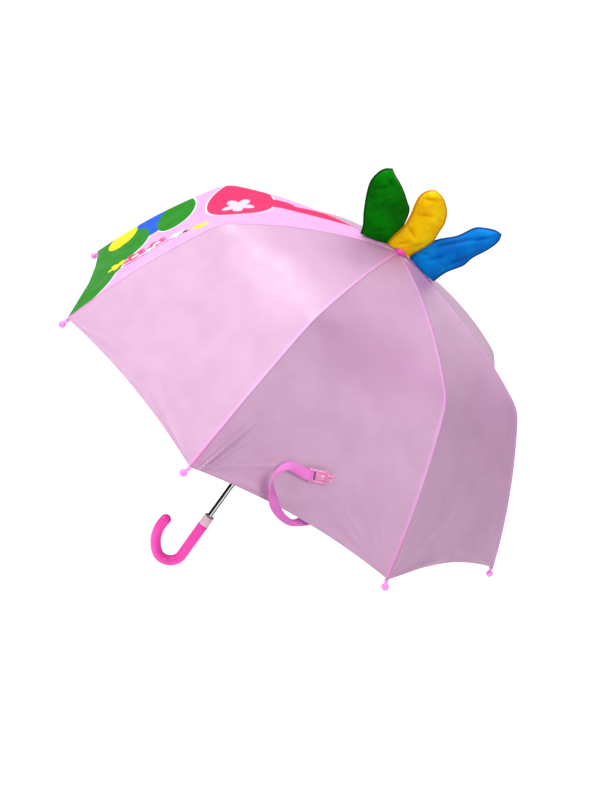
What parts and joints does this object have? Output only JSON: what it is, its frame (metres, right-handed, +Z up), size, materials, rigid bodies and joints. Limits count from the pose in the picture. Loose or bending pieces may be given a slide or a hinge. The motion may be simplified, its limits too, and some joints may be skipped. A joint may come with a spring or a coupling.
{
  "type": "children's umbrella",
  "caption": "Open stick umbrella for a child: dome canopy on sprung ribs, sliding runner, hooked handle and a crest of stuffed spikes; folds along its shaft.",
  "frame": {"origin": "on the shaft axis, halfway up the straight hand grip", "axes": "+Z up the shaft to the ferrule; the hook and the printed front panel face -Y"},
  "size_m": [0.6533, 0.649, 0.6574],
  "materials": {
    "handle_pink": "glossy injection-moulded hot pink",
    "collar_pink": "translucent pale pink",
    "tube_steel": "polished chromed tube",
    "frame_steel": "zinc-plated spring steel",
    "white_plastic": "moulded nylon",
    "tip_pink": "glossy pink",
    "canopy_cloth": "satin polyester, pale pink",
    "printed_cloth": "satin polyester with a printed scene",
    "green_cloth": "satin polyester, stuffed",
    "yellow_cloth": "satin polyester, stuffed",
    "blue_cloth": "satin polyester, stuffed",
    "strap_cloth": "woven pink ribbon",
    "clip_clear": "translucent pink"
  },
  "bodies": {
    "shaft": {"shaft_tube": "tube_steel", "handle": "handle_pink", "handle_collar": "collar_pink", "crown": "white_plastic", "crown_wire": "frame_steel", "crown_pin": "frame_steel", "ferrule_cap": "handle_pink", "rosette": "canopy_cloth", "spike_yellow": "yellow_cloth"},
    "runner": {"runner": "white_plastic", "runner_wire": "frame_steel"},
    "top_catch": {"top_catch": "frame_steel"},
    "bottom_catch": {"bottom_catch": "frame_steel"},
    "rib_1": {"rib_1": "frame_steel"},
    "rib_2": {"rib_2": "frame_steel"},
    "rib_3": {"rib_3": "frame_steel"},
    "rib_4": {"rib_4": "frame_steel"},
    "rib_5": {"rib_5": "frame_steel"},
    "rib_6": {"rib_6": "frame_steel"},
    "rib_7": {"rib_7": "frame_steel"},
    "rib_8": {"rib_8": "frame_steel"},
    "stretcher_1": {"stretcher_1": "frame_steel"},
    "stretcher_2": {"stretcher_2": "frame_steel"},
    "stretcher_3": {"stretcher_3": "frame_steel"},
    "stretcher_4": {"stretcher_4": "frame_steel"},
    "stretcher_5": {"stretcher_5": "frame_steel"},
    "stretcher_6": {"stretcher_6": "frame_steel"},
    "stretcher_7": {"stretcher_7": "frame_steel"},
    "stretcher_8": {"stretcher_8": "frame_steel"},
    "tip_1": {"tip_1": "tip_pink"},
    "tip_2": {"tip_2": "tip_pink"},
    "tip_3": {"tip_3": "tip_pink"},
    "tip_4": {"tip_4": "tip_pink"},
    "tip_5": {"tip_5": "tip_pink"},
    "tip_6": {"tip_6": "tip_pink"},
    "tip_7": {"tip_7": "tip_pink"},
    "tip_8": {"tip_8": "tip_pink"},
    "panel_upper_1": {"panel_upper_1": "canopy_cloth"},
    "panel_upper_2": {"panel_upper_2": "canopy_cloth", "spike_blue": "blue_cloth"},
    "panel_upper_3": {"panel_upper_3": "canopy_cloth"},
    "panel_upper_4": {"panel_upper_4": "canopy_cloth"},
    "panel_upper_5": {"panel_upper_5": "canopy_cloth"},
    "panel_upper_6": {"panel_upper_6": "printed_cloth", "spike_green": "green_cloth"},
    "panel_upper_7": {"panel_upper_7": "canopy_cloth"},
    "panel_upper_8": {"panel_upper_8": "canopy_cloth"},
    "panel_lower_1": {"panel_lower_1": "canopy_cloth"},
    "panel_lower_2": {"panel_lower_2": "canopy_cloth"},
    "panel_lower_3": {"panel_lower_3": "canopy_cloth"},
    "panel_lower_4": {"panel_lower_4": "canopy_cloth"},
    "panel_lower_5": {"panel_lower_5": "canopy_cloth"},
    "panel_lower_6": {"panel_lower_6": "printed_cloth"},
    "panel_lower_7": {"panel_lower_7": "canopy_cloth"},
    "panel_lower_8": {"panel_lower_8": "canopy_cloth", "strap": "strap_cloth", "strap_clip": "clip_clear"}
  },
  "joints": [
    {"name": "canopy_fold", "type": "hinge", "parent": "shaft", "child": "rib_1", "pos_m": [0.00831, 0.00344, 0.5025], "axis": [-0.3827, 0.9239, 0], "range_deg": [0, 71], "deforming": ["rib_1"]},
    {"name": "rib_2_fold", "type": "hinge", "parent": "shaft", "child": "rib_2", "pos_m": [0.00344, 0.00831, 0.5025], "axis": [-0.9239, 0.3827, 0], "range_deg": [-0.5, 71.5], "deforming": ["rib_2"]},
    {"name": "rib_3_fold", "type": "hinge", "parent": "shaft", "child": "rib_3", "pos_m": [-0.00344, 0.00831, 0.5025], "axis": [-0.9239, -0.3827, 0], "range_deg": [-0.5, 71.5], "deforming": ["rib_3"]},
    {"name": "rib_4_fold", "type": "hinge", "parent": "shaft", "child": "rib_4", "pos_m": [-0.00831, 0.00344, 0.5025], "axis": [-0.3827, -0.9239, 0], "range_deg": [-0.5, 71.5], "deforming": ["rib_4"]},
    {"name": "rib_5_fold", "type": "hinge", "parent": "shaft", "child": "rib_5", "pos_m": [-0.00831, -0.00344, 0.5025], "axis": [0.3827, -0.9239, 0], "range_deg": [-0.5, 71.5], "deforming": ["rib_5"]},
    {"name": "rib_6_fold", "type": "hinge", "parent": "shaft", "child": "rib_6", "pos_m": [-0.00344, -0.00831, 0.5025], "axis": [0.9239, -0.3827, 0], "range_deg": [-0.5, 71.5], "deforming": ["rib_6"]},
    {"name": "rib_7_fold", "type": "hinge", "parent": "shaft", "child": "rib_7", "pos_m": [0.00344, -0.00831, 0.5025], "axis": [0.9239, 0.3827, 0], "range_deg": [-0.5, 71.5], "deforming": ["rib_7"]},
    {"name": "rib_8_fold", "type": "hinge", "parent": "shaft", "child": "rib_8", "pos_m": [0.00831, -0.00344, 0.5025], "axis": [0.3827, 0.9239, 0], "range_deg": [-0.5, 71.5], "deforming": ["rib_8"]},
    {"name": "stretcher_1_fold", "type": "hinge", "parent": "rib_1", "child": "stretcher_1", "pos_m": [0.18648, 0.07724, 0.45237], "axis": [-0.3827, 0.9239, 0], "range_deg": [-142.5, 0.5]},
    {"name": "stretcher_2_fold", "type": "hinge", "parent": "rib_2", "child": "stretcher_2", "pos_m": [0.07724, 0.18648, 0.45237], "axis": [-0.9239, 0.3827, 0], "range_deg": [-142.5, 0.5]},
    {"name": "stretcher_3_fold", "type": "hinge", "parent": "rib_3", "child": "stretcher_3", "pos_m": [-0.07724, 0.18648, 0.45237], "axis": [-0.9239, -0.3827, 0], "range_deg": [-142.5, 0.5]},
    {"name": "stretcher_4_fold", "type": "hinge", "parent": "rib_4", "child": "stretcher_4", "pos_m": [-0.18648, 0.07724, 0.45237], "axis": [-0.3827, -0.9239, 0], "range_deg": [-142.5, 0.5]},
    {"name": "stretcher_5_fold", "type": "hinge", "parent": "rib_5", "child": "stretcher_5", "pos_m": [-0.18648, -0.07724, 0.45237], "axis": [0.3827, -0.9239, 0], "range_deg": [-142.5, 0.5]},
    {"name": "stretcher_6_fold", "type": "hinge", "parent": "rib_6", "child": "stretcher_6", "pos_m": [-0.07724, -0.18648, 0.45237], "axis": [0.9239, -0.3827, 0], "range_deg": [-142.5, 0.5]},
    {"name": "stretcher_7_fold", "type": "hinge", "parent": "rib_7", "child": "stretcher_7", "pos_m": [0.07724, -0.18648, 0.45237], "axis": [0.9239, 0.3827, 0], "range_deg": [-142.5, 0.5]},
    {"name": "stretcher_8_fold", "type": "hinge", "parent": "rib_8", "child": "stretcher_8", "pos_m": [0.18648, -0.07724, 0.45237], "axis": [0.3827, 0.9239, 0], "range_deg": [-142.5, 0.5]},
    {"name": "runner_travel", "type": "hinge", "parent": "stretcher_1", "child": "runner", "pos_m": [0.00831, 0.00344, 0.40224], "axis": [-0.3827, 0.9239, 0], "range_deg": [-0.5, 71.5]},
    {"name": "tip_1_flex", "type": "hinge", "parent": "rib_1", "child": "tip_1", "pos_m": [0.21991, 0.09109, 0.43757], "axis": [-0.3827, 0.9239, 0], "range_deg": [-43.1, 0.5]},
    {"name": "tip_2_flex", "type": "hinge", "parent": "rib_2", "child": "tip_2", "pos_m": [0.09109, 0.21991, 0.43757], "axis": [-0.9239, 0.3827, 0], "range_deg": [-43.1, 0.5]},
    {"name": "tip_3_flex", "type": "hinge", "parent": "rib_3", "child": "tip_3", "pos_m": [-0.09109, 0.21991, 0.43757], "axis": [-0.9239, -0.3827, 0], "range_deg": [-43.1, 0.5]},
    {"name": "tip_4_flex", "type": "hinge", "parent": "rib_4", "child": "tip_4", "pos_m": [-0.21991, 0.09109, 0.43757], "axis": [-0.3827, -0.9239, 0], "range_deg": [-43.1, 0.5]},
    {"name": "tip_5_flex", "type": "hinge", "parent": "rib_5", "child": "tip_5", "pos_m": [-0.21991, -0.09109, 0.43757], "axis": [0.3827, -0.9239, 0], "range_deg": [-43.1, 0.5]},
    {"name": "tip_6_flex", "type": "hinge", "parent": "rib_6", "child": "tip_6", "pos_m": [-0.09109, -0.21991, 0.43757], "axis": [0.9239, -0.3827, 0], "range_deg": [-43.1, 0.5]},
    {"name": "tip_7_flex", "type": "hinge", "parent": "rib_7", "child": "tip_7", "pos_m": [0.09109, -0.21991, 0.43757], "axis": [0.9239, 0.3827, 0], "range_deg": [-43.1, 0.5]},
    {"name": "tip_8_flex", "type": "hinge", "parent": "rib_8", "child": "tip_8", "pos_m": [0.21991, -0.09109, 0.43757], "axis": [0.3827, 0.9239, 0], "range_deg": [-43.1, 0.5]},
    {"name": "panel_1_fold", "type": "hinge", "parent": "shaft", "child": "panel_upper_1", "pos_m": [0.00354, 0.00354, 0.4991], "axis": [-0.7071, 0.7071, 0], "range_deg": [-0.5, 71.5], "deforming": ["panel_upper_1"]},
    {"name": "panel_2_fold", "type": "hinge", "parent": "shaft", "child": "panel_upper_2", "pos_m": [0, 0.005, 0.4991], "axis": [-1, 0, 0], "range_deg": [-0.5, 71.5], "deforming": ["panel_upper_2"]},
    {"name": "panel_3_fold", "type": "hinge", "parent": "shaft", "child": "panel_upper_3", "pos_m": [-0.00354, 0.00354, 0.4991], "axis": [-0.7071, -0.7071, 0], "range_deg": [-0.5, 71.5], "deforming": ["panel_upper_3"]},
    {"name": "panel_4_fold", "type": "hinge", "parent": "shaft", "child": "panel_upper_4", "pos_m": [-0.005, 0, 0.4991], "axis": [0, -1, 0], "range_deg": [-0.5, 71.5], "deforming": ["panel_upper_4"]},
    {"name": "panel_5_fold", "type": "hinge", "parent": "shaft", "child": "panel_upper_5", "pos_m": [-0.00354, -0.00354, 0.4991], "axis": [0.7071, -0.7071, 0], "range_deg": [-0.5, 71.5], "deforming": ["panel_upper_5"]},
    {"name": "panel_6_fold", "type": "hinge", "parent": "shaft", "child": "panel_upper_6", "pos_m": [0, -0.005, 0.4991], "axis": [1, 0, 0], "range_deg": [-0.5, 71.5], "deforming": ["panel_upper_6"]},
    {"name": "panel_7_fold", "type": "hinge", "parent": "shaft", "child": "panel_upper_7", "pos_m": [0.00354, -0.00354, 0.4991], "axis": [0.7071, 0.7071, 0], "range_deg": [-0.5, 71.5], "deforming": ["panel_upper_7"]},
    {"name": "panel_8_fold", "type": "hinge", "parent": "shaft", "child": "panel_upper_8", "pos_m": [0.005, 0, 0.4991], "axis": [0, 1, 0], "range_deg": [-0.5, 71.5], "deforming": ["panel_upper_8"]},
    {"name": "panel_1_crease", "type": "hinge", "parent": "panel_upper_1", "child": "panel_lower_1", "pos_m": [0.15643, 0.15643, 0.43926], "axis": [-0.7071, 0.7071, 0], "range_deg": [-43.1, 0.5], "deforming": ["panel_lower_1"]},
    {"name": "panel_2_crease", "type": "hinge", "parent": "panel_upper_2", "child": "panel_lower_2", "pos_m": [0, 0.22122, 0.43926], "axis": [-1, 0, 0], "range_deg": [-43.1, 0.5], "deforming": ["panel_lower_2"]},
    {"name": "panel_3_crease", "type": "hinge", "parent": "panel_upper_3", "child": "panel_lower_3", "pos_m": [-0.15643, 0.15643, 0.43926], "axis": [-0.7071, -0.7071, 0], "range_deg": [-43.1, 0.5], "deforming": ["panel_lower_3"]},
    {"name": "panel_4_crease", "type": "hinge", "parent": "panel_upper_4", "child": "panel_lower_4", "pos_m": [-0.22122, 0, 0.43926], "axis": [0, -1, 0], "range_deg": [-43.1, 0.5], "deforming": ["panel_lower_4"]},
    {"name": "panel_5_crease", "type": "hinge", "parent": "panel_upper_5", "child": "panel_lower_5", "pos_m": [-0.15643, -0.15643, 0.43926], "axis": [0.7071, -0.7071, 0], "range_deg": [-43.1, 0.5], "deforming": ["panel_lower_5"]},
    {"name": "panel_6_crease", "type": "hinge", "parent": "panel_upper_6", "child": "panel_lower_6", "pos_m": [0, -0.22122, 0.43926], "axis": [1, 0, 0], "range_deg": [-43.1, 0.5], "deforming": ["panel_lower_6"]},
    {"name": "panel_7_crease", "type": "hinge", "parent": "panel_upper_7", "child": "panel_lower_7", "pos_m": [0.15643, -0.15643, 0.43926], "axis": [0.7071, 0.7071, 0], "range_deg": [-43.1, 0.5], "deforming": ["panel_lower_7"]},
    {"name": "panel_8_crease", "type": "hinge", "parent": "panel_upper_8", "child": "panel_lower_8", "pos_m": [0.22122, 0, 0.43926], "axis": [0, 1, 0], "range_deg": [-43.1, 0.5], "deforming": ["panel_lower_8", "strap"]},
    {"name": "top_catch_press", "type": "slide", "parent": "shaft", "child": "top_catch", "axis": [1, 0, 0], "range_m": [0, 0.0023], "stiffness_N_per_m": 800, "springref_m": -0.0005},
    {"name": "bottom_catch_press", "type": "slide", "parent": "shaft", "child": "bottom_catch", "axis": [1, 0, 0], "range_m": [0, 0.0023], "stiffness_N_per_m": 800, "springref_m": -0.0005}
  ],
  "couplings": [
    {"joint": "rib_2_fold", "follows": "canopy_fold", "ratio": 1},
    {"joint": "rib_3_fold", "follows": "canopy_fold", "ratio": 1},
    {"joint": "rib_4_fold", "follows": "canopy_fold", "ratio": 1},
    {"joint": "rib_5_fold", "follows": "canopy_fold", "ratio": 1},
    {"joint": "rib_6_fold", "follows": "canopy_fold", "ratio": 1},
    {"joint": "rib_7_fold", "follows": "canopy_fold", "ratio": 1},
    {"joint": "rib_8_fold", "follows": "canopy_fold", "ratio": 1},
    {"joint": "stretcher_1_fold", "follows": "canopy_fold", "ratio": -2},
    {"joint": "stretcher_2_fold", "follows": "canopy_fold", "ratio": -2},
    {"joint": "stretcher_3_fold", "follows": "canopy_fold", "ratio": -2},
    {"joint": "stretcher_4_fold", "follows": "canopy_fold", "ratio": -2},
    {"joint": "stretcher_5_fold", "follows": "canopy_fold", "ratio": -2},
    {"joint": "stretcher_6_fold", "follows": "canopy_fold", "ratio": -2},
    {"joint": "stretcher_7_fold", "follows": "canopy_fold", "ratio": -2},
    {"joint": "stretcher_8_fold", "follows": "canopy_fold", "ratio": -2},
    {"joint": "runner_travel", "follows": "canopy_fold", "ratio": 1},
    {"joint": "tip_1_flex", "follows": "canopy_fold", "ratio": -0.6},
    {"joint": "tip_2_flex", "follows": "canopy_fold", "ratio": -0.6},
    {"joint": "tip_3_flex", "follows": "canopy_fold", "ratio": -0.6},
    {"joint": "tip_4_flex", "follows": "canopy_fold", "ratio": -0.6},
    {"joint": "tip_5_flex", "follows": "canopy_fold", "ratio": -0.6},
    {"joint": "tip_6_flex", "follows": "canopy_fold", "ratio": -0.6},
    {"joint": "tip_7_flex", "follows": "canopy_fold", "ratio": -0.6},
    {"joint": "tip_8_flex", "follows": "canopy_fold", "ratio": -0.6},
    {"joint": "panel_1_fold", "follows": "canopy_fold", "ratio": 0.98},
    {"joint": "panel_2_fold", "follows": "canopy_fold", "ratio": 0.98},
    {"joint": "panel_3_fold", "follows": "canopy_fold", "ratio": 0.98},
    {"joint": "panel_4_fold", "follows": "canopy_fold", "ratio": 0.98},
    {"joint": "panel_5_fold", "follows": "canopy_fold", "ratio": 0.98},
    {"joint": "panel_6_fold", "follows": "canopy_fold", "ratio": 0.98},
    {"joint": "panel_7_fold", "follows": "canopy_fold", "ratio": 0.98},
    {"joint": "panel_8_fold", "follows": "canopy_fold", "ratio": 0.98},
    {"joint": "panel_1_crease", "follows": "canopy_fold", "ratio": -0.6},
    {"joint": "panel_2_crease", "follows": "canopy_fold", "ratio": -0.6},
    {"joint": "panel_3_crease", "follows": "canopy_fold", "ratio": -0.6},
    {"joint": "panel_4_crease", "follows": "canopy_fold", "ratio": -0.6},
    {"joint": "panel_5_crease", "follows": "canopy_fold", "ratio": -0.6},
    {"joint": "panel_6_crease", "follows": "canopy_fold", "ratio": -0.6},
    {"joint": "panel_7_crease", "follows": "canopy_fold", "ratio": -0.6},
    {"joint": "panel_8_crease", "follows": "canopy_fold", "ratio": -0.6}
  ]
}
